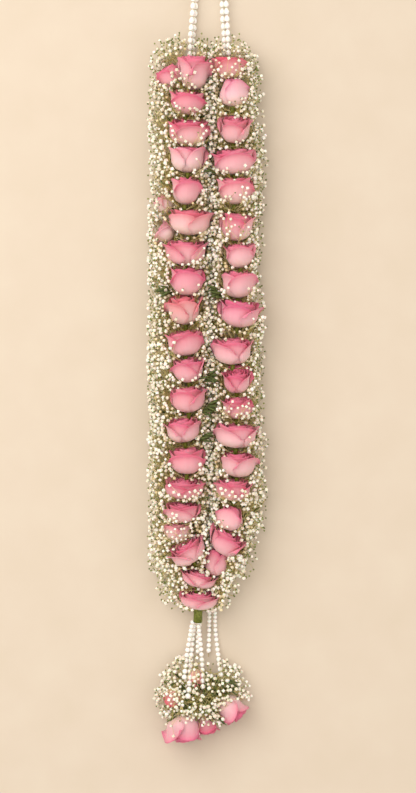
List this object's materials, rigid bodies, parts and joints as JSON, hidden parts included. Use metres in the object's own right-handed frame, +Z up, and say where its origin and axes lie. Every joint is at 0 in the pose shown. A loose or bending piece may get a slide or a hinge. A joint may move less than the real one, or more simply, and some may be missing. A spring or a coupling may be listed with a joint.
{
  "type": "wedding garland",
  "caption": "Long flower garland of pink roses in two columns bedded in baby's breath, with a pearl neck loop and a pearl-hung flower tassel, laid flat.",
  "frame": {"origin": "on the surface, under the middle of the flowers: halfway across them, and halfway between the top of the body and the lowest petal of the tassel", "axes": "+Y up the garland to its neck loop, +X to the right as its front is seen, +Z up, out of the garland's front"},
  "size_m": [0.146, 1.0489, 0.0692],
  "materials": {
    "rose": "soft matte petals, deeper pink at the rims, with a green calyx and stem",
    "babys_breath": "matte cream florets on thin olive stems",
    "rope": "matte twisted cotton",
    "pearl": "pearl lustre"
  },
  "bodies": {
    "root": {"core_rope_left": "rope", "core_rope_right": "rope", "neck_pearl_strand_outer": "pearl", "neck_pearl_strand_inner": "pearl", "tassel_strand_left_outer": "pearl", "tassel_strand_left_inner": "pearl", "tassel_strand_middle": "pearl", "tassel_strand_short": "pearl", "tassel_strand_loose": "pearl", "tassel_strand_right": "pearl", "rose_left_01": "rose", "rose_left_02": "rose", "rose_left_03": "rose", "rose_left_04": "rose", "rose_left_05": "rose", "rose_left_06": "rose", "rose_left_07": "rose", "rose_left_08": "rose", "rose_left_09": "rose", "rose_left_10": "rose", "rose_left_11": "rose", "rose_left_12": "rose", "rose_left_13": "rose", "rose_left_14": "rose", "rose_left_15": "rose", "rose_left_16": "rose", "rose_left_17": "rose", "rose_left_18": "rose", "rose_right_01": "rose", "rose_right_02": "rose", "rose_right_03": "rose", "rose_right_04": "rose", "rose_right_05": "rose", "rose_right_06": "rose", "rose_right_07": "rose", "rose_right_08": "rose", "rose_right_09": "rose", "rose_right_10": "rose", "rose_right_11": "rose", "rose_right_12": "rose", "rose_right_13": "rose", "rose_right_14": "rose", "rose_right_15": "rose", "rose_right_16": "rose", "rose_right_17": "rose", "rose_tip_01": "rose", "rose_tip_02": "rose", "rose_tip_03": "rose", "rose_side_01": "rose", "rose_side_02": "rose", "rose_side_03": "rose", "rose_tassel_01": "rose", "rose_tassel_02": "rose", "rose_tassel_03": "rose", "rose_tassel_04": "rose", "rose_tassel_05": "rose", "babys_breath_left": "babys_breath", "babys_breath_right": "babys_breath", "babys_breath_tassel": "babys_breath"}
  },
  "joints": []
}
